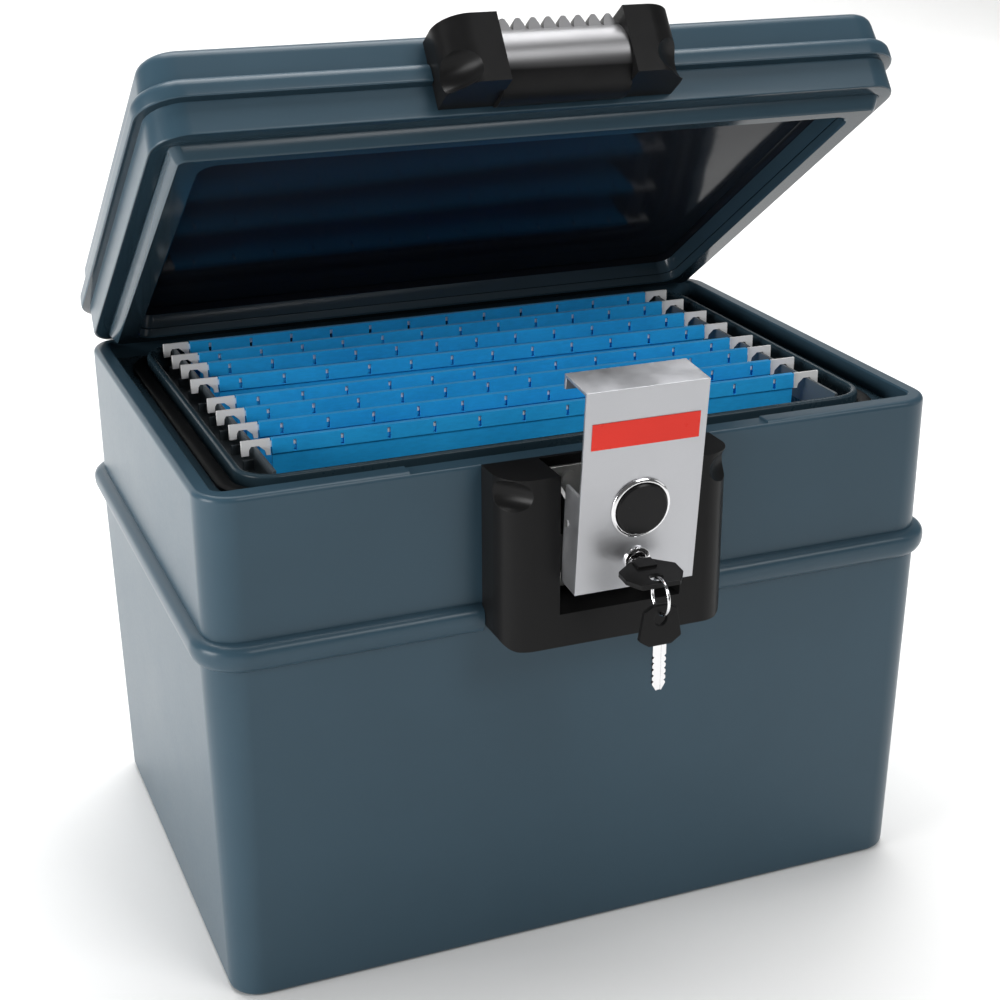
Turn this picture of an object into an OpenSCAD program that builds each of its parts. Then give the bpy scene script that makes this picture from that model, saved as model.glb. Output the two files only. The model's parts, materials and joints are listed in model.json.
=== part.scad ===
// Fireproof document box: an insulated base and a hinged lid, with a hooked latch,
// a push button and a key lock on the front, and four hanging folders on two rails.
// X runs to the right, the front faces -Y, and the underside is at Z = 0.

/* [Base] */
// Width of the base over its walls, at the height of the rib
box_w = 400; // [396:1:404]
// Depth of the base over its walls, at the height of the rib
box_d = 283.6; // [280:0.2:288]
// Height of the rim
rim_h = 277.5; // [275:0.5:280]
// Height of the rib's middle
rib_z = 197; // [194:1:200]
// How much narrower each side is at the foot than at the rib
foot_draft = 3.6; // [2:0.1:4]
// How much narrower each side is at the rim than at the rib
rim_draft = 0.9; // [0.5:0.1:1.5]
// Radius of the upright corners
corner_r = 20; // [18:1:24]
// Thickness of the outer wall
wall = 3.5; // [3:0.1:4]

/* [Rim] */
// Width of the flat rim at the sides
land_side = 9.1; // [8.6:0.1:9.6]
// Width of the flat rim at the front and back
land_front = 10.6; // [10:0.1:11]
// Depth of the channel that takes the lid's tongue
channel_deep = 10; // [9:0.5:11]
// Half width of the liner's lip, to its outside
lip_x = 172.9; // [172:0.1:173.5]
// Half depth of the liner's lip, to its outside
lip_y = 117.7; // [117:0.1:118.5]

/* [Lid] */
// How far the lid stands open
lid_open = 34.7; // [20:0.1:60]
// Height of the lid's side
lid_h = 44.4; // [42:0.2:46]
// Height of the lid's tongue
tongue_h = 7; // [5:0.5:8]
// Gap between the closed lid and the rim
lid_gap = 0.6; // [0.4:0.1:1]
// Distance of the hinge axis behind the middle
hinge_y = 134.9; // [134.6:0.1:135.2]

/* [Latch] */
// Width of the latch plate
plate_w = 63; // [60:0.5:64]
// Thickness of the latch plate
plate_t = 1.8; // [1.5:0.1:2]
// How far the latch leans out at rest
latch_lean = 5.8; // [4:0.1:7]
// Distance of the latch pin in front of the middle
pin_y = 176.5; // [176:0.1:178]
// Height of the latch pin
pin_z = 255; // [253:0.5:257]
// Diameter of the latch pin
pin_d = 3.6; // [3:0.2:5]

/* [Folders] */
// Width of a hanging folder's sheet
folder_w = 293; // [290:0.5:298]
// Length of a hanging rod over its hooks
rod_len = 324; // [320:0.5:326]
// Depth that a folder hangs below its rod
folder_drop = 236; // [225:1:238]

/* [Hidden] */
$fn = 64;

half_w = box_w / 2;
half_d = box_d / 2;
corner_steps = 8;
gap = 0.3;

// Channel in the rim, between the flat rim and the liner's lip
channel_x = half_w - rim_draft - land_side;
channel_y = half_d - rim_draft - land_front;
channel_r = 6;
channel_z = rim_h - channel_deep;
flange_t = 2.5;

// Liner: the lip stands just under the rim, and the rails lie on a ledge inside it
lip_t = 4;
lip_z = rim_h - 1;
lip_r = 19.5;
ledge_z = 262;
liner_t = 2.5;
tub_x = 154.5;
tub_y = 110;
tub_draft = 2.5;
tub_floor = 34;

// Lid, described closed and then turned open about its hinge axis
lid_z = rim_h + lid_gap;
lid_x = half_w - 2.2;
lid_y = half_d - 2.2;
lid_rib_z = 22;
mouth_x = 189.5;
mouth_y = 130.1;
tongue_x = 189.1;
tongue_y = 129.7;
tongue_taper = 2.8;
tongue_in_x = 174.4;
tongue_in_y = 119.2;
recess_h = 8;

// Hinge knuckles
knuckle_r = 4;
knuckle_clear = 0.5;
hinge_pin_d = 3;
hinge_x = 110;
knuckle_half = 15;
barrel_half = 30;

// Latch frame and grip, one above the other on the front
frame_x = 61.5;
frame_back = 141.9;
frame_front = 171.4;
frame_bottom = 187.5;
frame_top = rim_h - 0.6;
frame_r = 9;
pocket_x = 32.5;
pocket_bottom = 205;
grip_back = lid_y + 0.5;
grip_front = lid_y + 28;
grip_r = 16;
grip_bottom = lid_z + 3.6;
grip_top = lid_z + 38.6;
grip_screw_z = [19.5, 31];
bar_r = 18;
bar_y = lid_y + 8.5;
bar_z = lid_z + 19;
tooth_back = 153.6;
scoop_l = 22;
tooth_pitch = 7.86;

// Latch parts, in the latch's own frame: the pin is at the origin, the plate is upright
plate_front = -13;
plate_back = plate_front + plate_t;
plate_top = 72;
plate_bottom = -32.8;
cheek_top = 18.6;
cheek_back = 4;
hook_back = 12;
lip_drop = 7.5;
button_z = 9.8;
button_r = 13.2;
lock_z = -17.7;
barrel_r = 6;
plug_r = 4.5;
bracket_x = plate_w / 2 - plate_t - 0.4;
bracket_t = 2.3;

// Keys: the ring hangs through a hole near the front of the inserted key's bow
blade_w = 7;
blade_t = 1.6;
bow_front = -40.5;
bow_back = -17.5;
bow_t = 2.6;
hole_y = -34.3;
hole_r = 3.4;
ring_r = 8.7;
wire_r = 0.8;
ring_y = -39.3;
spare_blade = 24;

// Folders, from the back to the front: middle, turn, and half the gap between the rods
folder_y = [93.6, 42.6, -15, -64];
folder_turn = [-0.4, -2.1, -1, -1.2];
folder_half = [12, 14.2, 10.9, 13.2];
rail_x = 155.2;
rail_top = 276.4;
rod_top = 279.8;
rod_t = 1.3;
sheet_t = 0.8;
sleeve_t = 3;

// ---------- outlines and lofts ----------

// One quarter turn of an outline's corner
function quarter(cx, cy, r, start) =
    [for (i = [0:corner_steps])
        let (a = start + 90 * i / corner_steps) [cx + r * cos(a), cy + r * sin(a)]];

// Rounded rectangle, anticlockwise, from half sizes and a corner radius
function outline(x, y, r) = concat(
    quarter(x - r, y - r, r, 0), quarter(r - x, y - r, r, 90),
    quarter(r - x, r - y, r, 180), quarter(x - r, r - y, r, 270));

// A station is [half width, half depth, corner radius, height, shift along y]
function ring(s) =
    [for (p = outline(s[0], s[1], s[2])) [p[0], p[1] + (len(s) > 4 ? s[4] : 0), s[3]]];

// Solid through a list of stations, capped at both ends, or joined end to end
module loft(stations, joined = false) {
    m = 4 * (corner_steps + 1);
    k = len(stations);
    points = [for (s = stations) each ring(s)];
    walls = [for (j = [0:joined ? k - 1 : k - 2], i = [0:m - 1])
        let (a = j * m, b = ((j + 1) % k) * m, n = (i + 1) % m)
        each [[a + i, b + i, b + n], [a + i, b + n, a + n]]];
    caps = joined ? [] : [[for (i = [0:m - 1]) i], [for (i = [0:m - 1]) k * m - 1 - i]];
    polyhedron(points, concat(walls, caps));
}

// Station of the base, a distance inside its widest outline
function base_at(inset, z) =
    [half_w - inset, half_d - inset, max(corner_r - inset, 4), z];

// Station of the lid, a distance inside its lower edge
function lid_at(inset, h) =
    [lid_x - inset, lid_y - inset, max(corner_r - 1 - inset, 4), lid_z + h];

// Elliptic arc in a station's inset and height
function base_arc(inset, z, out, up, from, to, steps) =
    [for (i = [0:steps]) let (t = from + (to - from) * i / steps)
        base_at(inset - out * cos(t), z + up * sin(t))];
function lid_arc(inset, h, out, up, from, to, steps) =
    [for (i = [0:steps]) let (t = from + (to - from) * i / steps)
        lid_at(inset - out * cos(t), h + up * sin(t))];

// ---------- placing ----------

module on_lid() {
    translate([0, hinge_y, rim_h]) rotate([-lid_open, 0, 0])
        translate([0, -hinge_y, -rim_h]) children();
}

module on_latch() {
    translate([0, -pin_y, pin_z]) rotate([latch_lean, 0, 0]) children();
}

// Cylinder along X, from a to b, at y and z
module x_rod(d, a, b, y = 0, z = 0) {
    translate([a, y, z]) rotate([0, 90, 0]) cylinder(d = d, h = b - a);
}

// Cylinder along Y, from y = a to y = b, at x and z
module y_rod(d, a, b, x = 0, z = 0) {
    translate([x, b, z]) rotate([90, 0, 0]) cylinder(d = d, h = b - a);
}

module box(from, to) {
    translate(from) cube(to - from);
}

module both_sides() {
    children();
    mirror([1, 0, 0]) children();
}

// ---------- base ----------

module base_shell() {
    color("#3f5362") difference() {
        union() {
            loft(concat(
                base_arc(foot_draft + 4, 4, 4, 4, -90, 0, 3),
                base_arc(0, rib_z, 5, 8, -90, 0, 5),
                base_arc(1.2, rib_z + 1.2, 6.2, 5.4, 15, 90, 4),
                base_arc(rim_draft + 3, rim_h - 3, 3, 3, 0, 90, 4),
                [[channel_x + 0.8, channel_y + 0.8, channel_r + 0.8, rim_h],
                 [channel_x, channel_y, channel_r, rim_h - 0.8],
                 [channel_x, channel_y, channel_r, channel_z - flange_t],
                 [channel_x - 8, channel_y - 8, 4, channel_z - flange_t],
                 [channel_x - 8, channel_y - 8, 4, channel_z - flange_t - 3.5],
                 base_at(rim_draft + wall, channel_z - flange_t - 7),
                 base_at(foot_draft + wall, wall + 4),
                 base_at(foot_draft + wall + 3, wall + 1)]));
            // Flat pad under the latch frame, and the boss behind it for its screws
            box([-frame_x + 0.4, -frame_back, frame_bottom + 0.4],
                [frame_x - 0.4, -half_d + 4, frame_top - 0.4]);
            box([-50, -half_d + 3, 206], [50, -130, 258]);
            both_sides() for (side = [-1, 1])
                x_rod(2 * knuckle_r, hinge_x + side * 22.5 - 7.2, hinge_x + side * 22.5 + 7.2,
                    hinge_y, rim_h);
        }
        // The rib stops at the latch frame
        box([-frame_x - 0.3, -half_d - 9, frame_bottom - 0.3], [frame_x + 0.3, -frame_back, rim_h]);
        // Shallow dip in the front rim, over the latch
        box([-97, -half_d - 1, rim_h - 1.2], [97, -channel_y + 1, rim_h + 1]);
        // Step in the back rim that the lid's edge turns into
        difference() {
            box([-half_w, hinge_y + 0.4, rim_h - 5.8], [half_w, half_d + 1, rim_h + 1]);
            both_sides() x_rod(2 * knuckle_r, hinge_x - 29.7, hinge_x + 29.7, hinge_y, rim_h);
        }
        both_sides() {
            // Room for the lid's knuckle, and the bore for the pin
            x_rod(2 * (knuckle_r + knuckle_clear), hinge_x - knuckle_half - 0.3,
                hinge_x + knuckle_half + 0.3, hinge_y, rim_h);
            x_rod(hinge_pin_d, hinge_x - barrel_half - 1, hinge_x + barrel_half + 1,
                hinge_y, rim_h);
        }
        for (x = [-18, 18], z = [243, 266]) y_rod(3.4, -half_d - 2, -131.5, x, z);
        for (x = [-20, 20]) y_rod(3.4, -half_d - 2, -131.5, x, 212);
        for (x = [-70, 70]) translate([x, 0, -1]) {
            cylinder(d = 32, h = 2.5);
            cylinder(d = 26, h = 10);
        }
    }
}

module base_liner() {
    in_x = lip_x - lip_t;
    in_y = lip_y - lip_t;
    mid_r = lip_r - lip_t / 2;
    color("#2f414e") loft(concat(
        [[tub_x - tub_draft, tub_y - tub_draft, 12, tub_floor - liner_t],
         [tub_x + liner_t, tub_y + liner_t, 14, ledge_z - liner_t],
         [in_x + liner_t, in_y + liner_t, lip_r - 1.5, ledge_z - liner_t],
         [in_x + liner_t, in_y + liner_t, lip_r - 1.5, channel_z - flange_t],
         [channel_x - 0.4, channel_y - 0.4, channel_r - 0.4, channel_z - flange_t],
         [channel_x - 0.4, channel_y - 0.4, channel_r - 0.4, channel_z],
         [lip_x, lip_y, lip_r, channel_z]],
        [for (t = [0:30:180])
            [lip_x - lip_t / 2 + lip_t / 2 * cos(t), lip_y - lip_t / 2 + lip_t / 2 * cos(t),
             mid_r + lip_t / 2 * cos(t), lip_z - lip_t / 2 + lip_t / 2 * sin(t)]],
        [[in_x, in_y, lip_r - lip_t, ledge_z],
         [tub_x, tub_y, 12, ledge_z],
         [tub_x - tub_draft, tub_y - tub_draft, 10, tub_floor + 4],
         [tub_x - tub_draft - 4, tub_y - tub_draft - 4, 8, tub_floor]]));
}

module base_insulation() {
    top = channel_z - flange_t - 7.6;
    color("#cfc9bb") difference() {
        loft([
            base_at(foot_draft + wall + 3.4, wall + 1.4),
            base_at(foot_draft + wall + 0.4, wall + 4.4),
            base_at(rim_draft + wall + 0.4, top),
            [tub_x + liner_t + 0.4, tub_y + liner_t + 0.4, 14, top],
            [tub_x - tub_draft + 1, tub_y - tub_draft + 1, 12, tub_floor - liner_t - 0.4]]);
        box([-51, -half_d, 205], [51, -129, top + 1]);
    }
}

module fill_caps() {
    color("#2b2e31") for (x = [-70, 70]) translate([x, 0, 0.4]) {
        cylinder(d = 31.6, h = 1.05);
        cylinder(d = 25.8, h = 3.9);
    }
}

module rim_gasket() {
    function seal(out, z) = [lip_x + out, lip_y + out, lip_r + out, channel_z + z];
    color("#1b1d1f") loft([seal(0.3, 0), seal(8.3, 0), seal(8.3, 1.8), seal(7, 3),
        seal(4.3, 3.3), seal(1.6, 3), seal(0.3, 1.8)], joined = true);
}

module file_rail(side) {
    color("#8d979c") scale([side, 1, 1]) {
        box([rail_x - 0.8, -104, ledge_z], [rail_x + 7, 104, ledge_z + 2]);
        box([rail_x - 0.8, -111, ledge_z], [rail_x + 0.8, 112, rail_top]);
        for (i = [-4:4]) box([rail_x, 24 * i - 1, ledge_z], [rail_x + 6, 24 * i + 1, ledge_z + 7]);
    }
}

module file_rail_left() { file_rail(-1); }
module file_rail_right() { file_rail(1); }

module hinge_pin(side) {
    color("silver") x_rod(hinge_pin_d - 0.06, side * hinge_x - barrel_half,
        side * hinge_x + barrel_half, hinge_y, rim_h);
}

module hinge_pin_left() { hinge_pin(-1); }
module hinge_pin_right() { hinge_pin(1); }

// ---------- latch frame and bracket, fixed to the base ----------

// Front outline of the frame and the grip, seen from above
module front_plan(back, front) {
    square_w = 2 * (frame_x - grip_r);
    translate([-square_w / 2, -front]) square([square_w, front - back]);
    translate([-frame_x, grip_r - front]) square([2 * frame_x, front - back - grip_r]);
    intersection() {
        for (x = [-1, 1]) translate([x * (frame_x - grip_r), grip_r - front]) circle(r = grip_r);
        translate([-frame_x, -front]) square([2 * frame_x, front - back]);
    }
}

// Long oval finger scoop across each rounded front corner
module scoops(front, z, r, depth) {
    both_sides() translate([frame_x - grip_r, grip_r - front, z]) rotate([0, 0, -45])
        translate([grip_r + r - depth, 0, 0]) rotate([90, 0, 0]) rotate_extrude()
            polygon([for (t = [-90:7.5:90]) [r * cos(t), scoop_l * sin(t)]]);
}

module latch_frame() {
    color("#26282a") difference() {
        intersection() {
            translate([0, 0, frame_bottom]) linear_extrude(frame_top - frame_bottom)
                front_plan(frame_back, frame_front);
            translate([0, -frame_back + 1, frame_bottom]) rotate([90, 0, 0])
                linear_extrude(frame_front) {
                    translate([-frame_x, frame_r]) square([2 * frame_x, 100]);
                    translate([frame_r - frame_x, 0]) square([2 * (frame_x - frame_r), 100]);
                    for (x = [-1, 1]) translate([x * (frame_x - frame_r), frame_r]) circle(r = frame_r);
                }
        }
        box([-pocket_x, -frame_front - 1, pocket_bottom],
            [pocket_x, -frame_back - 2.5, frame_top + 1]);
        scoops(frame_front, frame_top - 8.4, 8.5, 5);
        for (x = [-18, 18], z = [243, 266]) y_rod(4.4, -frame_back - 3, -frame_back + 1, x, z);
        for (x = [-20, 20]) y_rod(4.4, -frame_back - 3, -frame_back + 1, x, 212);
    }
}

// Pan head screw along Y, its head facing the front
module screw(x, z, seat, length, shank = 3.3) {
    y_rod(7.6, -seat - 2.4, -seat, x, z);
    y_rod(shank, -seat, -seat + length, x, z);
}

module frame_screws() {
    color("silver") for (x = [-20, 20]) screw(x, 212, frame_back + 2.5, 12);
}

module latch_bracket() {
    web = frame_back + 2.5;
    color("#9aa0a4") difference() {
        union() {
            box([-bracket_x, -web - 2.3, 237], [bracket_x, -web, 272]);
            both_sides() translate([bracket_x - bracket_t, 0, 0]) rotate([90, 0, 90])
                linear_extrude(bracket_t) {
                    polygon([[-web, 237], [-web, 272], [-pin_y, pin_z + 6.5], [-pin_y, pin_z - 6.5]]);
                    translate([-pin_y, pin_z]) circle(r = 6.5);
                }
        }
        x_rod(pin_d + 0.1, -40, 40, -pin_y, pin_z);
        for (x = [-18, 18], z = [243, 266]) y_rod(4.4, -web - 4, -web + 1, x, z);
    }
}

module bracket_screws() {
    color("silver") for (x = [-18, 18], z = [243, 266]) screw(x, z, frame_back + 4.8, 14);
}

// Spring leaf that holds the latch shut and that the button's stem pushes off
module catch_leaf() {
    web = frame_back + 4.8;
    color("#c9cdd0") {
        box([-7, -web - 0.8, 250], [7, -web, 271.5]);
        box([-7, -web - 20, 270.7], [7, -web, 271.5]);
        box([-7, -web - 20, 262.6], [7, -web - 19.2, 271.5]);
    }
}

// ---------- lid ----------

module lid_shell() {
    color("#3f5362") on_lid() difference() {
        union() {
            loft(concat(
                [lid_at(12, 0)],
                lid_arc(1.2, 1.2, 1.2, 1.2, -90, 0, 2),
                [lid_at(0.3, lid_rib_z - 5.6), lid_at(-3.2, lid_rib_z - 5.2)],
                lid_arc(-3.2, lid_rib_z - 4, 1.2, 1.2, -60, 0, 2),
                lid_arc(0.2, lid_rib_z, 4.6, 5.2, 0, 90, 5),
                lid_arc(1 + 6, lid_h - 6, 6, 6, 0, 90, 6),
                [lid_at(40, lid_h + 0.9), lid_at(85, lid_h + 1.4)]));
            box([-frame_x + 0.4, -grip_back, grip_bottom + 1], [frame_x - 0.4, -lid_y + 5, grip_top - 2]);
            both_sides() x_rod(2 * knuckle_r, hinge_x - knuckle_half, hinge_x + knuckle_half,
                hinge_y, rim_h);
        }
        // Hollow for the insulation
        loft([[mouth_x, mouth_y, 6, lid_z - 1], [mouth_x, mouth_y, 6, lid_z + recess_h + 2.9],
            lid_at(wall, 14.6), lid_at(wall, lid_h - 9), lid_at(wall + 5, lid_h - wall)]);
        // The rib stops at the grip
        box([-frame_x - 0.3, -lid_y - 9, lid_z + 3], [frame_x + 0.3, -grip_back, grip_top + 0.3]);
        both_sides() {
            for (side = [-1, 1])
                x_rod(2 * (knuckle_r + knuckle_clear), hinge_x + side * 22.5 - 7.8,
                    hinge_x + side * 22.5 + 7.8, hinge_y, rim_h);
            x_rod(hinge_pin_d + 0.06, hinge_x - barrel_half, hinge_x + barrel_half,
                hinge_y, rim_h);
        }
        for (x = [-47, 47], h = grip_screw_z) y_rod(4.4, -lid_y - 2, -lid_y + 5.5, x, lid_z + h);
    }
}

// Ring that enters the base's channel, with a fine groove round its inner wall
module lid_tongue() {
    function outer(in, r, h) = [tongue_x - in, tongue_y - in, r, lid_z + h];
    function inner(in, h) = [tongue_in_x - in, tongue_in_y - in, 10 - in / 2, lid_z + h];
    color("#33444f") on_lid() loft([
        inner(0, 0.8 - tongue_h), inner(-0.8, -tongue_h),
        outer(tongue_taper + 1, 4, -tongue_h), outer(tongue_taper, 4.5, 1 - tongue_h),
        outer(0, 5.5, 0), outer(0, 5.5, recess_h + 2.5),
        inner(3.5, recess_h + 2.5), inner(3.5, recess_h - 3), inner(1.2, -1.8),
        inner(0.3, -1.9), inner(0.2, -2.4), inner(1, -2.5)], joined = true);
}

// Glossy underside, a shallow dish inside the tongue
module lid_pan() {
    function dish(in, h) = [tongue_in_x - in, tongue_in_y - in, max(10 - in / 2, 3), lid_z + h];
    color("#2a3740") on_lid() loft([
        dish(8.5, recess_h), dish(7, recess_h - 0.3), dish(5.5, recess_h - 1.1),
        dish(4.3, recess_h - 2.4), dish(3.6, recess_h - 2.6), dish(3.6, recess_h + 2.5)]);
}

module lid_insulation() {
    in = wall + 0.4;
    color("#cfc9bb") on_lid() difference() {
        loft([[mouth_x - 0.6, mouth_y - 0.6, 5, lid_z + recess_h + 2.9],
            lid_at(in + 0.4, 15.2), lid_at(in, lid_h - 9.4), lid_at(in + 5, lid_h - in)]);
        for (x = [-47, 47], h = grip_screw_z) y_rod(9, -lid_y, -lid_y + wall + 3, x, lid_z + h);
    }
}

module lid_grip() {
    color("#26282a") on_lid() difference() {
        union() {
            difference() {
                translate([0, 0, grip_bottom]) linear_extrude(grip_top - grip_bottom)
                    front_plan(grip_back, grip_front);
                box([-pocket_x, -grip_front - 1, lid_z], [pocket_x, -grip_back - 3, grip_top + 1]);
            }
            intersection() {
                x_rod(2 * bar_r, -pocket_x - 1, pocket_x + 1, -bar_y, bar_z);
                box([-pocket_x - 1, -grip_front, lid_z + 0.6], [pocket_x + 1, -grip_back, grip_top]);
            }
            // Row of teeth along the top of the bar
            for (i = [-3.5:3.5]) translate([i * tooth_pitch, -tooth_back, lid_z + 34])
                rotate([90, 0, 0]) linear_extrude(6.6)
                    polygon([[-3.7, -3], [3.7, -3], [2.8, 1], [1.3, 4.1], [0.6, 4.5], [-0.6, 4.5],
                        [-1.3, 4.1], [-2.8, 1]]);
        }
        // Trough behind the teeth, for the hook's lip
        box([-pocket_x, -tooth_back + 0.1, lid_z + 35.2], [pocket_x, -grip_back - 3, grip_top + 1]);
        scoops(grip_front, lid_z + 12, 10.5, 6.5);
        for (x = [-47, 47], h = grip_screw_z) y_rod(3.4, -grip_back - 10, -grip_back + 1, x, lid_z + h);
    }
}

// Screws driven from inside the lid's hollow into the grip
module grip_screws() {
    color("silver") on_lid() for (x = [-47, 47], h = grip_screw_z) {
        y_rod(3.3, -grip_back - 9, -lid_y + wall, x, lid_z + h);
        y_rod(7.6, -lid_y + wall, -lid_y + wall + 2.4, x, lid_z + h);
    }
}

// ---------- latch ----------

module latch_plate() {
    half = plate_w / 2;
    color("#b9bdc1") on_latch() difference() {
        union() {
            box([-half, plate_front, plate_bottom], [half, plate_back, plate_top]);
            box([-half, plate_front, plate_top - plate_t], [half, hook_back, plate_top]);
            box([-half, hook_back - plate_t, plate_top - lip_drop], [half, hook_back, plate_top]);
            both_sides() box([half - plate_t, plate_front, plate_bottom],
                [half, cheek_back, cheek_top]);
        }
        x_rod(pin_d + 0.1, -40, 40);
        y_rod(2 * button_r + 0.6, plate_front - 1, plate_back + 1, 0, button_z);
        y_rod(2 * barrel_r + 0.2, plate_front - 1, plate_back + 1, 0, lock_z);
    }
}

module latch_label() {
    color("#d63a30") on_latch() box([-27.7, plate_front - 0.35, 42.9], [27.7, plate_front - 0.05, 56.1]);
}

// Pin through the plate's cheeks and the bracket's ears
module latch_pivot_pin() {
    half = plate_w / 2;
    color("silver") on_latch() x_rod(pin_d, -half - 0.5, half + 0.5);
}

// Torsion spring coiled round the pin
module latch_spring() {
    color("#8b9094") on_latch() for (i = [0:6])
        translate([-21.5 + 1.25 * i, 0, 0]) rotate([0, 90, 0])
            rotate_extrude() translate([pin_d / 2 + 0.8, 0]) circle(d = 1.2);
}

module button_bezel() {
    color("#c8cccf") on_latch() translate([0, plate_front, button_z]) rotate([90, 0, 0])
        rotate_extrude($fn = 96) polygon([[button_r + 0.06, -1.6], [button_r + 0.06, 1.2],
            [button_r + 0.5, 1.7], [button_r + 1.2, 1.6], [15.4, 0.9], [15.5, 0.05],
            [button_r + 0.25, 0.05], [button_r + 0.25, -1.6]]);
}

// Cup behind the plate that guides the button
module button_housing() {
    color("#2a2c2e") on_latch() translate([0, plate_back, button_z]) rotate([-90, 0, 0])
        rotate_extrude($fn = 96) polygon([[3.05, 6], [3.05, 7.4], [15, 7.4], [15, 0.05],
            [button_r + 0.06, 0.05], [button_r + 0.06, 6]]);
}

module push_button() {
    color("#1d1e20") on_latch() translate([0, plate_front, button_z]) rotate([90, 0, 0])
        rotate_extrude($fn = 96) polygon([[0, -17.1], [3, -17.1], [3, -1.2], [button_r, -1.2],
            [button_r, 2.4], [button_r - 0.8, 3], [0, 3.4]]);
}

// Coil spring behind the button's head
module button_spring() {
    color("#8b9094") on_latch() for (i = [0:4])
        translate([0, plate_back + 0.1 + 1.25 * i, button_z]) rotate([-90, 0, 0])
            rotate_extrude() translate([6, 0]) circle(d = 0.9);
}

module lock_barrel() {
    color("#c3c7ca") on_latch() translate([0, plate_front, lock_z]) rotate([90, 0, 0])
        difference() {
            union() {
                translate([0, 0, -17]) cylinder(r = barrel_r, h = 17.1);
                translate([0, 0, 0.05]) cylinder(d1 = 14.4, d2 = 13, h = 1.6);
            }
            translate([0, 0, -18]) cylinder(r = plug_r + 0.04, h = 21);
        }
}

module lock_nut() {
    color("#8b9094") on_latch() translate([0, plate_back + 0.05, lock_z]) rotate([-90, 0, 0])
        difference() {
            cylinder(d = 16.6, h = 3, $fn = 6);
            translate([0, 0, -1]) cylinder(r = barrel_r + 0.02, h = 5);
        }
}

module lock_plug() {
    color("#a9aeb2") on_latch() difference() {
        y_rod(2 * plug_r, plate_front - 1.9, plate_front + 17.3, 0, lock_z);
        box([-blade_w / 2 - 0.1, plate_front - 3, lock_z - blade_t / 2 - 0.1],
            [blade_w / 2 + 0.1, plate_front + 13, lock_z + blade_t / 2 + 0.1]);
    }
}

module lock_cam() {
    color("#9aa0a4") on_latch() translate([0, plate_front + 17.3, lock_z]) rotate([-90, 0, 0])
        linear_extrude(1.6) difference() {
            union() {
                circle(r = 5);
                translate([0, -3]) square([25.5, 6]);
            }
            circle(d = 3.2);
        }
}

module cam_screw() {
    color("silver") on_latch() y_rod(6.4, plate_front + 18.9, plate_front + 20.7, 0, lock_z);
}

// Key: a flat blade with a groove in each face, small cuts in both edges and a blunt tip
module blade(from, to) {
    half = blade_w / 2;
    difference() {
        translate([0, 0, -blade_t / 2]) linear_extrude(blade_t)
            polygon([[-half, from], [half, from], [half, to - 3.5], [1.4, to], [-1.4, to],
                [-half, to - 3.5]]);
        for (i = [0:4], side = [-1, 1]) translate([side * half, to - 5 - 3.2 * i, -2])
            rotate([0, 0, 45]) translate([-0.6, -0.6, 0]) cube([1.2, 1.2, 4]);
        for (side = [-1, 1]) translate([0, 0, side * blade_t / 2])
            box([-1, from - 1, -0.5], [1, to + 1, 0.5]);
    }
}

module key_blade() {
    color("#c3c7ca") on_latch() translate([0, 0, lock_z]) blade(bow_back + 0.02, plate_front + 12.8);
}

module key_bow() {
    w = 15;
    color("#1d1e20") on_latch() translate([0, 0, lock_z - bow_t / 2]) difference() {
        union() {
            linear_extrude(bow_t) polygon([[-6, bow_back], [6, bow_back], [w, -24.5], [w, -33],
                [w - 5, bow_front], [5 - w, bow_front], [-w, -33], [-w, -24.5]]);
            translate([-5, bow_back - 8, -1.2]) cube([10, 8, bow_t + 2.4]);
        }
        translate([0, hole_y, -3]) cylinder(r = hole_r, h = 9);
    }
}

// Point on the inserted key where the ring hangs, and the way down from it
module at_ring() {
    c = cos(latch_lean);
    s = sin(latch_lean);
    z = lock_z + bow_t / 2;
    translate([0, ring_y * c - z * s - pin_y, ring_y * s + z * c + pin_z + wire_r + 0.35])
        children();
}

module key_ring() {
    color("silver") at_ring() translate([0, 0, -ring_r]) rotate([0, 90, 0])
        rotate_extrude($fn = 72) translate([ring_r, 0]) circle(r = wire_r);
}

// The spare key hangs from the ring's lowest point, flat to the front
module at_spare() {
    at_ring() translate([0, 0, -2 * ring_r]) children();
}

module spare_key_bow() {
    color("#1d1e20") at_spare() rotate([90, 0, 0]) translate([0, 0, -bow_t / 2]) difference() {
        linear_extrude(bow_t) polygon([[-4, 4.6], [4, 4.6], [8.5, 2], [11, -12.5], [6, -16],
            [-6, -16], [-11, -12.5], [-8.5, 2]]);
        translate([0, wire_r + 0.2 - hole_r, -1]) cylinder(r = hole_r, h = 9);
    }
}

module spare_key_blade() {
    color("#c3c7ca") at_spare() translate([0, 0, -16.02]) rotate([-90, 0, 0]) blade(0, spare_blade);
}

// ---------- hanging folders ----------

module on_folder(n) {
    translate([0, folder_y[n], 0]) rotate([0, 0, folder_turn[n]]) children();
}

// One rod: a flat strip over the sheet, with a notched hook that rides each rail
module rod() {
    end = rod_len / 2;
    inside = folder_w / 2 + 0.7;
    translate([0, rod_t / 2, 0]) rotate([90, 0, 0]) linear_extrude(rod_t) {
        translate([-inside - 1, rod_top - 4.4]) square([2 * inside + 2, 3]);
        both_sides() translate([0, rod_top])
            polygon([[inside, 0], [inside, -8.6], [inside + 2.2, -8.6], [inside + 2.7, -6.2],
                [rail_x - 2.2, -3.3], [rail_x + 1.8, -3.3], [end - 4, -4.9], [end - 3.8, -7.9],
                [end, -7.9], [end, 0]]);
    }
}

module folder_rods(n) {
    color("#e8e9ea") on_folder(n) for (side = [-1, 1])
        translate([0, side * folder_half[n], 0]) rod();
}

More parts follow.
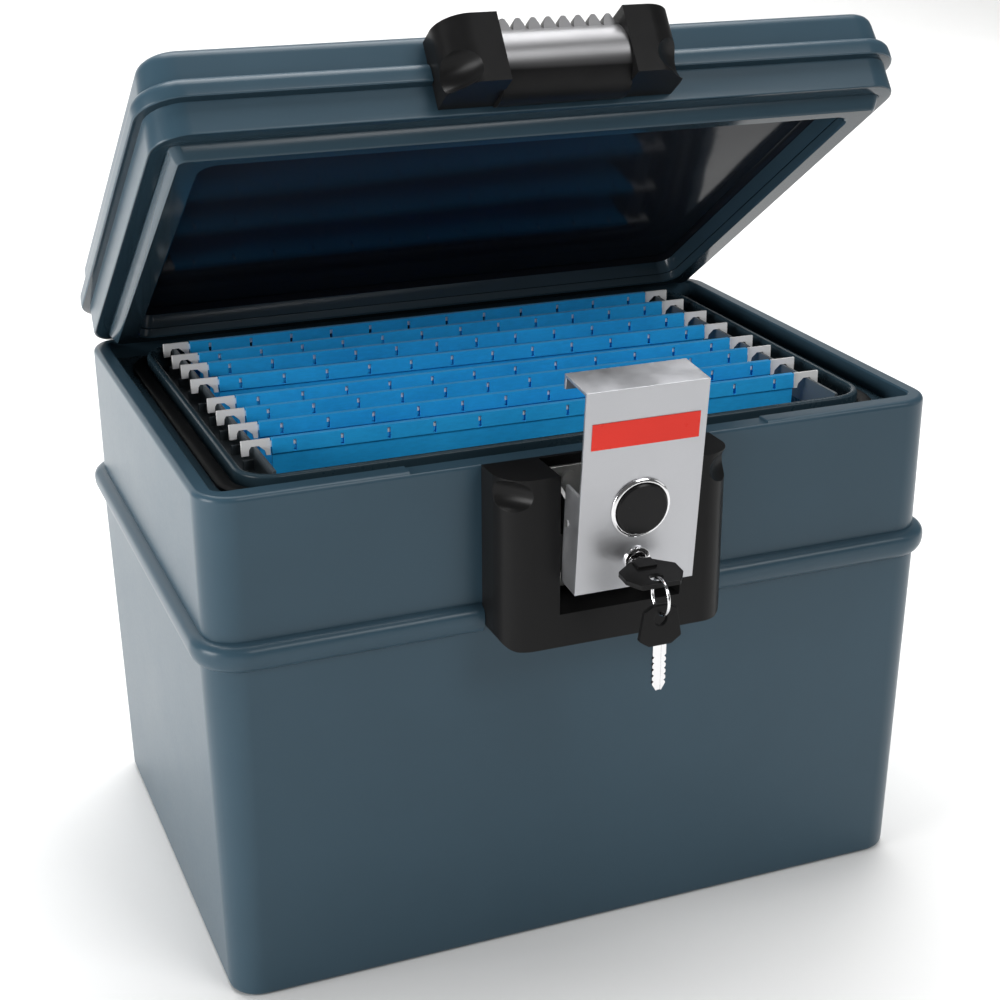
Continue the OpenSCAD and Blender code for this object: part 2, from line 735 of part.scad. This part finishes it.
// Outline of half a folder: a sleeve round the rod and a leaf that slants to the middle
module half_folder(half, bottom) {
    t = sheet_t / 2;
    difference() {
        translate([half - sleeve_t / 2, rod_top - 8]) square([sleeve_t, 8]);
        translate([half - rod_t / 2 - 0.15, rod_top - 4.6]) square([rod_t + 0.3, 3.4]);
    }
    polygon([[-t, bottom], [3 * t, bottom], [half + t, rod_top - 12], [half + t, rod_top - 6],
        [half - t, rod_top - 6], [half - t, rod_top - 12], [t, bottom + 1], [-t, bottom + 1]]);
}

// Sheet of one folder, with slots for the tabs along both sleeves
module folder_sheet(n) {
    half = folder_half[n];
    color("#1f72c0") on_folder(n) difference() {
        translate([-folder_w / 2, 0, 0]) rotate([90, 0, 90]) linear_extrude(folder_w) {
            half_folder(half, rod_top - 5 - folder_drop);
            mirror([1, 0]) half_folder(half, rod_top - 5 - folder_drop);
        }
        for (i = [-5.5:5.5], side = [-1, 1])
            translate([24.5 * i, side * half, rod_top - 4.5])
                cube([1.7, sleeve_t + 1, 5.8], center = true);
    }
}

module folder_1_sheet() { folder_sheet(0); }
module folder_1_rods() { folder_rods(0); }
module folder_2_sheet() { folder_sheet(1); }
module folder_2_rods() { folder_rods(1); }
module folder_3_sheet() { folder_sheet(2); }
module folder_3_rods() { folder_rods(2); }
module folder_4_sheet() { folder_sheet(3); }
module folder_4_rods() { folder_rods(3); }

// ---------- drawing ----------

base_shell();
base_liner();
base_insulation();
fill_caps();
rim_gasket();
file_rail_left();
file_rail_right();
latch_frame();
frame_screws();
latch_bracket();
bracket_screws();
catch_leaf();
hinge_pin_left();
hinge_pin_right();
lid_shell();
lid_tongue();
lid_pan();
lid_insulation();
lid_grip();
grip_screws();
latch_plate();
latch_label();
latch_pivot_pin();
latch_spring();
button_bezel();
button_housing();
lock_barrel();
lock_nut();
push_button();
button_spring();
lock_plug();
lock_cam();
cam_screw();
key_blade();
key_bow();
key_ring();
spare_key_blade();
spare_key_bow();
folder_1_sheet();
folder_1_rods();
folder_2_sheet();
folder_2_rods();
folder_3_sheet();
folder_3_rods();
folder_4_sheet();
folder_4_rods();
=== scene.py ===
import json
import math
import bpy
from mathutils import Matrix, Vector

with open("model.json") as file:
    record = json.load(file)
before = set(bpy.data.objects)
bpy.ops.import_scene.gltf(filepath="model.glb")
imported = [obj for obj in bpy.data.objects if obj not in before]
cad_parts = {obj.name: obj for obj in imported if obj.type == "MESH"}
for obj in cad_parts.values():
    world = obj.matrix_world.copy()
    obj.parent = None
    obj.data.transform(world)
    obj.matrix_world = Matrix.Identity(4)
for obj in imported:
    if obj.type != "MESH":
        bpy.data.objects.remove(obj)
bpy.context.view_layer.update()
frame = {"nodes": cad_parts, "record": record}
nodes = frame["nodes"]

# ---------- measures, in metres ----------
MM = 0.001
CAMERA_AT = (-0.3568, -0.9016, 0.5803)
CAMERA_TILT = math.radians(90 - 21.54)
CAMERA_ROLL = math.radians(0.17)
CAMERA_TURN = math.radians(-21.94)
CAMERA_LENS = 65.2
BAR_HALF = 32.4 * MM  # half the length of the grip's round bar


# ---------- node helpers ----------
class Graph:
    """A material's node tree, with short calls for the nodes used here."""

    def __init__(self, name):
        self.mat = bpy.data.materials.new(name)
        self.mat.use_nodes = True
        self.tree = self.mat.node_tree
        self.shader = self.tree.nodes["Principled BSDF"]
        coords = self.tree.nodes.new("ShaderNodeTexCoord").outputs
        self.coords, self.normal = coords["Object"], coords["Normal"]

    def link(self, a, b):
        self.tree.links.new(a, b)

    def stretched(self, scale):
        n = self.tree.nodes.new("ShaderNodeMapping")
        n.inputs["Scale"].default_value = scale
        self.link(self.coords, n.inputs["Vector"])
        return n.outputs["Vector"]

    def noise(self, scale, detail=3.0, rough=0.5, vector=None):
        n = self.tree.nodes.new("ShaderNodeTexNoise")
        n.inputs["Scale"].default_value = scale
        n.inputs["Detail"].default_value = detail
        n.inputs["Roughness"].default_value = rough
        self.link(vector or self.coords, n.inputs["Vector"])
        return n.outputs["Fac"]

    def cells(self, scale):
        n = self.tree.nodes.new("ShaderNodeTexVoronoi")
        n.inputs["Scale"].default_value = scale
        self.link(self.coords, n.inputs["Vector"])
        return n.outputs["Distance"]

    def spread(self, value, low, high, to_low, to_high):
        n = self.tree.nodes.new("ShaderNodeMapRange")
        n.inputs["From Min"].default_value = low
        n.inputs["From Max"].default_value = high
        n.inputs["To Min"].default_value = to_low
        n.inputs["To Max"].default_value = to_high
        self.link(value, n.inputs["Value"])
        return n.outputs["Result"]

    def math(self, kind, a, b):
        n = self.tree.nodes.new("ShaderNodeMath")
        n.operation = kind
        for socket, v in zip(n.inputs, (a, b)):
            if isinstance(v, (int, float)):
                socket.default_value = v
            else:
                self.link(v, socket)
        return n.outputs["Value"]

    def axis(self, i):
        n = self.tree.nodes.new("ShaderNodeSeparateXYZ")
        self.link(self.coords, n.inputs["Vector"])
        return n.outputs[i]

    def facing(self, direction, least, soft=0.03):
        """1 where the surface faces a direction in the part's own frame, falling to 0."""
        n = self.tree.nodes.new("ShaderNodeVectorMath")
        n.operation = "DOT_PRODUCT"
        n.inputs[1].default_value = direction
        self.link(self.normal, n.inputs[0])
        return self.spread(n.outputs["Value"], least - soft, least, 0, 1)

    def mix(self, factor, a, b):
        n = self.tree.nodes.new("ShaderNodeMix")
        n.data_type = "RGBA"
        for socket, v in zip((n.inputs[0], n.inputs[6], n.inputs[7]), (factor, a, b)):
            if isinstance(v, tuple):
                socket.default_value = (*v, 1)
            elif isinstance(v, (int, float)):
                socket.default_value = v
            else:
                self.link(v, socket)
        return n.outputs[2]

    def blend(self, factor, a, b):
        """Plain number between a, where the factor is 0, and b, where it is 1."""
        n = self.tree.nodes.new("ShaderNodeMix")
        for socket, v in zip((n.inputs[0], n.inputs[2], n.inputs[3]), (factor, a, b)):
            if isinstance(v, (int, float)):
                socket.default_value = v
            else:
                self.link(v, socket)
        return n.outputs[0]

    def bump(self, height, strength, distance, normal=None):
        n = self.tree.nodes.new("ShaderNodeBump")
        n.inputs["Strength"].default_value = strength
        n.inputs["Distance"].default_value = distance
        self.link(height, n.inputs["Height"])
        if normal:
            self.link(normal, n.inputs["Normal"])
        return n.outputs["Normal"]

    def set(self, socket, value):
        target = self.shader.inputs[socket]
        if isinstance(value, tuple):
            target.default_value = (*value, 1)
        elif isinstance(value, (int, float)):
            target.default_value = value
        else:
            self.link(value, target)
        return self


def moulded_plastic(name, colour, rough, grain=0.25, grain_scale=1400, vary=0.06, shine=0.5, under=None):
    """Plastic with a fine moulded grain, slow colour drift and slightly uneven gloss.

    Faces that point the way of `under` are smoother, and a painted shade makes them darker.
    """
    g = Graph(name)
    drift = g.noise(9, 4, 0.6)
    speck = g.noise(420, 2, 0.5)
    dark = tuple(c * (1 - vary) for c in colour)
    light = tuple(c * (1 + vary) for c in colour)
    tint = g.mix(g.spread(drift, 0.3, 0.7, 0, 1), dark, light)
    roughness = g.math("ADD", g.spread(drift, 0.3, 0.7, rough - 0.02, rough + 0.02),
                       g.spread(speck, 0.3, 0.7, -0.008, 0.008))
    if under:
        down_smooth_and_painted_shade = g.facing(under, UNDER_FACING)
        roughness = g.blend(down_smooth_and_painted_shade, roughness, UNDER_ROUGH)
        # Painted shade: faces pointing the way of `under` get a darker copy of the colour.
        tint = g.mix(down_smooth_and_painted_shade, tint, tuple(c * UNDER_PAINTED_SHADE for c in colour))
    g.set("Base Color", tint)
    g.set("Roughness", roughness)
    fine = g.bump(g.noise(grain_scale, 2, 0.6), grain, 0.00012)
    g.set("Normal", g.bump(g.noise(14, 2, 0.5), 0.06, 0.0016, fine))
    g.set("Specular IOR Level", shine)
    return g.mat


def glossy_plastic(name, colour, rough, wave=0.12, wave_scale=16, shine=0.5):
    """Polished plastic whose reflections bend slowly, as on a large moulding."""
    g = Graph(name)
    drift = g.noise(7, 3, 0.5)
    g.set("Base Color", g.mix(g.spread(drift, 0.3, 0.7, 0, 1),
                              tuple(c * 0.9 for c in colour), tuple(c * 1.1 for c in colour)))
    g.set("Roughness", g.spread(g.noise(160, 3, 0.6), 0.3, 0.7, rough * 0.75, rough * 1.3))
    fine = g.bump(g.noise(900, 2, 0.5), 0.05, 0.00006)
    g.set("Normal", g.bump(g.noise(wave_scale, 1.5, 0.4), wave, 0.004, fine))
    g.set("Specular IOR Level", shine)
    return g.mat


def metal(name, colour, rough, brushed=(1.0, 1.0, 1.0), grain=0.08, scale=600):
    """Metal with a directional grain and faint smudges."""
    g = Graph(name)
    lines = g.noise(scale, 3, 0.6, g.stretched(brushed))
    smudge = g.noise(45, 4, 0.6)
    g.set("Base Color", g.mix(g.spread(smudge, 0.3, 0.7, 0, 1),
                              tuple(c * 0.93 for c in colour), colour))
    g.set("Metallic", 1.0)
    g.set("Roughness", g.math("ADD", g.spread(smudge, 0.3, 0.7, rough * 0.85, rough * 1.15),
                              g.spread(lines, 0.3, 0.7, -0.008, 0.008)))
    g.set("Normal", g.bump(lines, grain, 0.00008))
    return g.mat


def grip_plastic(name):
    """Satin black plastic; the round bar between the lobes has a painted highlight on its upper side, a
    grey metallic colour.
    """
    g = Graph(name)
    off_middle = g.math("ABSOLUTE", g.axis(0), 0.0)
    on_lobe = g.math("GREATER_THAN", off_middle, BAR_HALF)
    on_bar = g.math("SUBTRACT", 1.0, on_lobe)
    # Painted highlight: this mask makes the bar's upper side grey and metallic.
    sheen = g.math("MULTIPLY", g.facing(BAR_UP, 0.97, 0.3), on_bar)
    drift = g.noise(30, 3, 0.6)
    lobe_rough = g.spread(drift, 0.3, 0.7, 0.28, 0.36)
    bar_rough = g.spread(drift, 0.3, 0.7, 0.36, 0.42)
    g.set("Specular IOR Level", LOBE_SHINE)
    g.set("Metallic", sheen)
    black = g.mix(g.spread(g.noise(60, 3, 0.5), 0.3, 0.7, 0, 1),
                  (0.007, 0.007, 0.0072), (0.010, 0.010, 0.0103))
    g.set("Base Color", g.mix(sheen, black, BAR_PAINTED_HIGHLIGHT))
    g.set("Roughness", g.blend(on_lobe, bar_rough, lobe_rough))
    g.set("Normal", g.bump(g.noise(1600, 2, 0.5), 0.12, 0.0001))
    return g.mat


def paper(name, colour):
    """Dyed card: fibres, a soft mottled colour and a faint sheen."""
    g = Graph(name)
    fibre = g.noise(700, 4, 0.7, g.stretched((0.25, 1.0, 1.0)))
    blotch = g.noise(26, 4, 0.6)
    g.set("Base Color", g.mix(g.spread(g.math("ADD", g.math("MULTIPLY", fibre, 0.5),
                                              g.math("MULTIPLY", blotch, 0.5)), 0.35, 0.65, 0, 1),
                              tuple(c * 0.86 for c in colour), tuple(min(c * 1.12, 1) for c in colour)))
    g.set("Roughness", g.spread(blotch, 0.3, 0.7, 0.55, 0.7))
    g.set("Sheen Weight", 0.15)
    g.set("Sheen Roughness", 0.4)
    slow = g.bump(g.noise(22, 2, 0.5, g.stretched((1.0, 1.0, 0.5))), 0.35, 0.0012)
    g.set("Normal", g.bump(fibre, 0.2, 0.0001, slow))
    return g.mat


def filler(name, colour):
    """Porous light cement."""
    g = Graph(name)
    pores = g.cells(260)
    g.set("Base Color", g.mix(g.spread(g.noise(40, 5, 0.7), 0.3, 0.7, 0, 1),
                              tuple(c * 0.8 for c in colour), colour))
    g.set("Roughness", 0.9)
    g.set("Normal", g.bump(pores, 0.6, 0.0008))
    return g.mat


# ---------- materials ----------
SLATE = (0.033, 0.067, 0.094)
# Down from the lid's underside, with the lid standing open as it does at rest
LID_OPEN = math.radians(34.7)
LID_UNDER = (0.0, -math.sin(LID_OPEN), -math.cos(LID_OPEN))
UNDER_FACING = 0.93
UNDER_ROUGH = 0.12
# Colour factor of the painted shade on faces pointing down from the lid's underside
UNDER_PAINTED_SHADE = 0.5
# Middle of the bar's painted highlight, forward and up
BAR_TILT = math.radians(52)
BAR_UP = (0.0, -math.cos(BAR_TILT), math.sin(BAR_TILT))
LOBE_SHINE = 0.1
# Grey colour of the painted highlight on the bar's upper side
BAR_PAINTED_HIGHLIGHT = (0.19, 0.19, 0.195)
mats = {
    "shell": moulded_plastic("slate_shell_plastic", SLATE, 0.3, 0.06, shine=0.26),
    # The lid and its tongue get a painted shade on their downward faces.
    "lid": moulded_plastic("slate_lid_plastic", SLATE, 0.3, 0.06, shine=0.26, under=LID_UNDER),
    "liner": moulded_plastic("slate_liner_plastic", (0.020, 0.040, 0.054), 0.28, shine=0.26),
    "pan": glossy_plastic("lid_underside_plastic", (0.011, 0.013, 0.017), 0.09, 0.22, 9, 0.05),
    "tongue": moulded_plastic("lid_tongue_plastic", (0.030, 0.056, 0.076), 0.2, 0.0, shine=0.24,
                              under=LID_UNDER),
    "filler": filler("light_cement", (0.55, 0.52, 0.45)),
    "black": moulded_plastic("satin_black_plastic", (0.009, 0.009, 0.0092), 0.3, 0.12, 1600, shine=0.11),
    "grip": grip_plastic("grip_black_plastic"),
    "gloss_black": glossy_plastic("gloss_black_plastic", (0.009, 0.009, 0.0095), 0.22, 0.04, 60, 0.14),
    "seal": moulded_plastic("black_seal_rubber", (0.005, 0.0055, 0.006), 0.5, 0.3, 1200, shine=0.1),
    "rail": moulded_plastic("grey_rail_plastic", (0.075, 0.092, 0.105), 0.36),
    "steel": metal("zinc_plated_steel", (0.62, 0.62, 0.61), 0.32),
    "silver": metal("satin_silver_plate", (0.48, 0.485, 0.505), 0.42, (1.0, 1.0, 0.06), 0.05, 900),
    "chrome": metal("chrome_plate", (0.80, 0.80, 0.81), 0.10, grain=0.02),
    "red": glossy_plastic("red_label", (0.68, 0.036, 0.024), 0.35, 0.02, 80, 0.15),
    "blue": paper("blue_card", (0.008, 0.42, 0.95)),
    "white": moulded_plastic("white_hook_plastic", (0.93, 0.935, 0.94), 0.38, 0.08, 1800, 0.03),
}
SLOTS = {p["node"]: p["material_slot"] for p in frame["record"]["subparts"]}
OWN_MATERIAL = {"lid_grip": "grip", "lid_tongue": "tongue", "lid_shell": "lid"}

# Bevel width of each node in millimetres, and the angles past which an edge is rounded or stays crisp
BEVELS = {
    "base_shell": 0.5, "base_liner": 0.4, "lid_shell": 0.5, "lid_pan": 0.5, "latch_frame": 1.2,
    "lid_grip": 0.7, "latch_plate": 0.45, "push_button": 0.2, "key_bow": 0.5, "spare_key_bow": 0.5,
    "latch_label": 0.1, "file_rail_left": 0.25, "file_rail_right": 0.25, "latch_bracket": 0.3,
}
SMALL_BEVEL = 0.12
BEVEL_ANGLE = math.radians(28)
CREASE_ANGLE = math.radians(38)
WELD_GAP = 0.02 * MM
NO_BEVEL = ("key_ring", "button_spring", "latch_spring", "rim_gasket", "base_insulation", "lid_insulation")


def finish_node(name, obj):
    """Joins the node's triangles, rounds its edges and smooths its curves, by modifiers only."""
    key = OWN_MATERIAL.get(name, SLOTS[name])
    obj.data.materials.clear()
    obj.data.materials.append(mats[key])
    for poly in obj.data.polygons:
        poly.use_smooth = True
    weld = obj.modifiers.new("join", "WELD")
    weld.merge_threshold = WELD_GAP
    if name not in NO_BEVEL:
        bevel = obj.modifiers.new("edge", "BEVEL")
        bevel.width = BEVELS.get(name, SMALL_BEVEL) * MM
        bevel.segments = 2
        bevel.limit_method = "ANGLE"
        bevel.angle_limit = BEVEL_ANGLE
    split = obj.modifiers.new("crease", "EDGE_SPLIT")
    split.split_angle = CREASE_ANGLE
    split.use_edge_sharp = False
    weighted = obj.modifiers.new("normals", "WEIGHTED_NORMAL")
    weighted.weight = 80


for node_name, node_obj in nodes.items():
    finish_node(node_name, node_obj)


# ---------- studio ----------
def stage_material(name, colour):
    g = Graph(name)
    g.set("Base Color", g.mix(g.spread(g.noise(3, 3, 0.5), 0.3, 0.7, 0, 1),
                              tuple(c * 0.985 for c in colour), colour))
    g.set("Roughness", 0.8)
    return g.mat


def make_floor():
    """A pale floor that curves up into a backdrop far behind the box."""
    half, near, far, radius, top, steps = 9.0, -6.0, 5.5, 2.5, 6.0, 16
    profile = [(near, 0.0), (far - radius, 0.0)]
    profile += [(far - radius + radius * math.sin(a), radius - radius * math.cos(a))
                for a in [math.pi / 2 * i / steps for i in range(1, steps + 1)]]
    profile.append((far, top))
    verts = [(x, y, z) for y, z in profile for x in (-half, half)]
    faces = [(2 * i, 2 * i + 1, 2 * i + 3, 2 * i + 2) for i in range(len(profile) - 1)]
    mesh = bpy.data.meshes.new("studio_floor")
    mesh.from_pydata(verts, [], faces)
    mesh.shade_smooth()
    mesh.materials.append(stage_material("pale_floor", (0.86, 0.86, 0.855)))
    floor = bpy.data.objects.new("studio_floor", mesh)
    bpy.context.scene.collection.objects.link(floor)


def area_light(name, at, aim, size, power):
    light = bpy.data.lights.new(name, "AREA")
    light.shape = "RECTANGLE"
    light.size, light.size_y = size
    light.energy = power
    obj = bpy.data.objects.new(name, light)
    obj.location = at
    obj.rotation_euler = (Vector(aim) - Vector(at)).to_track_quat("-Z", "Y").to_euler()
    bpy.context.scene.collection.objects.link(obj)


make_floor()
CENTRE = (0, 0, 0.2)
area_light("overhead", (0.3, 0.9, 3.2), (0.1, 0.0, 0.0), (3.0, 2.4), 132)
area_light("backdrop_wash", (0.0, 2.0, 3.6), (0.0, 5.4, 0.8), (4.0, 1.2), 170)
area_light("left_side", (-3.0, -0.5, 0.75), CENTRE, (1.6, 1.2), 76)
area_light("front_right_high", (1.2, -2.3, 2.5), CENTRE, (1.6, 1.2), 42)
area_light("right_side", (2.6, -1.0, 0.9), CENTRE, (1.2, 1.2), 4)

world = bpy.data.worlds.new("soft_room")
world.use_nodes = True
world.node_tree.nodes["Background"].inputs["Color"].default_value = (1.0, 1.0, 1.0, 1)
world.node_tree.nodes["Background"].inputs["Strength"].default_value = 0.12
bpy.context.scene.world = world
bpy.context.scene.view_settings.view_transform = "Standard"
bpy.context.scene.view_settings.look = "None"

camera_data = bpy.data.cameras.new("camera")
camera_data.lens = CAMERA_LENS
camera_data.sensor_width = 36
camera_data.clip_end = 50
camera = bpy.data.objects.new("camera", camera_data)
camera.location = CAMERA_AT
camera.rotation_mode = "XYZ"
camera.rotation_euler = (CAMERA_TILT, CAMERA_ROLL, CAMERA_TURN)
bpy.context.scene.collection.objects.link(camera)
bpy.context.scene.camera = camera
